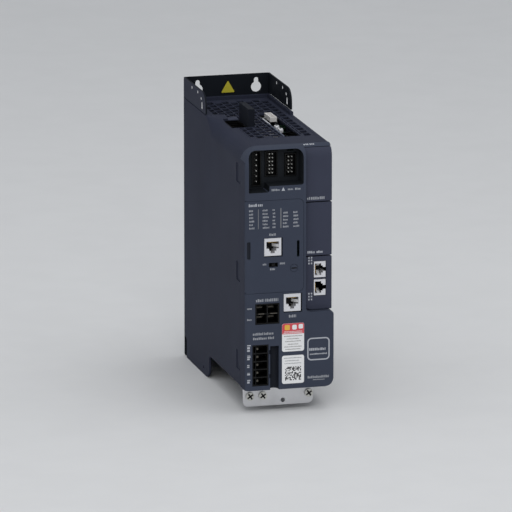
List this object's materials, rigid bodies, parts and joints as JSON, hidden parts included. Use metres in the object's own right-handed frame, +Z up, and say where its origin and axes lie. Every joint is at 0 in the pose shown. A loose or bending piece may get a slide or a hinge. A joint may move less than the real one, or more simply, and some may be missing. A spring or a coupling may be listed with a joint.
{
  "type": "servo drive",
  "caption": "Slim wall-mounted servo drive with rear mounting plate, vented top, front terminal and port panel, pull-off covers, plug-in bus module and grounding plate.",
  "frame": {"origin": "on the wall face of the rear plate, on the centre line, level with the underside of the housing", "axes": "+Y into the wall, -Y out of the front panel, +Z up, +X to the right seen from the front"},
  "size_m": [0.085, 0.2327, 0.2755],
  "materials": {
    "bracket_steel": "satin dark coating",
    "housing_steel": "satin powder coat",
    "shell_plastic": "fine moulded grain",
    "fascia_plastic": "fine moulded grain",
    "column_plastic": "fine moulded grain",
    "black_plastic": "smooth moulded",
    "header_plastic": "smooth moulded",
    "white_plastic": "smooth moulded",
    "port_shell": "bright plated sheet",
    "tin_contacts": "tin plated",
    "ground_steel": "brushed",
    "heatsink_aluminium": "extruded",
    "circuit_board": "solder mask",
    "capacitor_sleeve": "shrink sleeve",
    "copper_winding": "enamelled wire",
    "ferrite": "sintered",
    "relay_case": "smooth moulded",
    "insulating_film": "film"
  },
  "bodies": {
    "drive": {"rear_bracket": "bracket_steel", "heatsink": "heatsink_aluminium", "fan_left_frame": "black_plastic", "fan_right_frame": "black_plastic", "housing": "housing_steel", "top_grille": "shell_plastic", "bottom_grille": "shell_plastic", "mains_header": "black_plastic", "mains_pins": "tin_contacts", "key_block": "shell_plastic", "white_connector": "white_plastic", "earth_clip": "ground_steel", "bus_link": "ground_steel", "clip_carrier": "black_plastic", "black_connector": "black_plastic", "black_connector_pins": "tin_contacts", "front_cover": "fascia_plastic", "switch_body": "black_plastic", "panel_port": "port_shell", "panel_port_contacts": "tin_contacts", "encoder_port": "port_shell", "encoder_port_contacts": "tin_contacts", "relay_header": "header_plastic", "relay_header_pins": "tin_contacts", "wide_header": "header_plastic", "wide_header_pins": "tin_contacts", "small_header": "header_plastic", "small_header_pins": "tin_contacts", "dc_bus_socket": "black_plastic", "dc_bus_contacts": "tin_contacts", "motor_header": "header_plastic", "motor_pins": "tin_contacts", "ground_plate": "ground_steel", "ground_screw_1": "tin_contacts", "ground_screw_2": "tin_contacts", "ground_screw_3": "tin_contacts", "power_board": "circuit_board", "control_board": "circuit_board", "power_module": "header_plastic", "bus_capacitor_1": "capacitor_sleeve", "bus_capacitor_2": "capacitor_sleeve", "bus_capacitor_3": "capacitor_sleeve", "mains_choke": "copper_winding", "aux_transformer": "ferrite", "inrush_relay": "relay_case", "insulating_sheet": "insulating_film"},
    "fan_left": {"fan_left_rotor": "black_plastic"},
    "fan_right": {"fan_right_rotor": "black_plastic"},
    "io_cover": {"io_cover": "fascia_plastic"},
    "lid_lock": {"lid_lock": "fascia_plastic"},
    "switch_knob": {"switch_knob": "header_plastic"},
    "upper_slot_cover": {"upper_slot_cover": "column_plastic"},
    "lower_slot_cover": {"lower_slot_cover": "column_plastic"},
    "bus_module": {"bus_module": "column_plastic", "bus_port_1": "port_shell", "bus_port_1_contacts": "tin_contacts", "bus_port_2": "port_shell", "bus_port_2_contacts": "tin_contacts", "bus_module_board": "circuit_board"}
  },
  "joints": [
    {"name": "fan_left_spin", "type": "hinge", "parent": "drive", "child": "fan_left", "pos_m": [-0.0202, -0.0224, 0.014], "axis": [0, 0, 1], "continuous": true},
    {"name": "fan_right_spin", "type": "hinge", "parent": "drive", "child": "fan_right", "pos_m": [0.0202, -0.0224, 0.014], "axis": [0, 0, 1], "continuous": true},
    {"name": "io_cover_pull", "type": "slide", "parent": "drive", "child": "io_cover", "axis": [0, -1, 0], "range_m": [0, 0.03]},
    {"name": "lid_lock_turn", "type": "hinge", "parent": "io_cover", "child": "lid_lock", "pos_m": [0.0041, -0.2305, 0.1156], "axis": [0, -1, 0], "range_deg": [0, 90]},
    {"name": "switch_slide", "type": "slide", "parent": "drive", "child": "switch_knob", "axis": [1, 0, 0], "range_m": [-0.0024, 0.0024]},
    {"name": "upper_slot_cover_pull", "type": "slide", "parent": "drive", "child": "upper_slot_cover", "axis": [0, -1, 0], "range_m": [0, 0.03]},
    {"name": "lower_slot_cover_pull", "type": "slide", "parent": "drive", "child": "lower_slot_cover", "axis": [0, -1, 0], "range_m": [0, 0.03]},
    {"name": "bus_module_pull", "type": "slide", "parent": "drive", "child": "bus_module", "axis": [0, -1, 0], "range_m": [0, 0.1]}
  ]
}
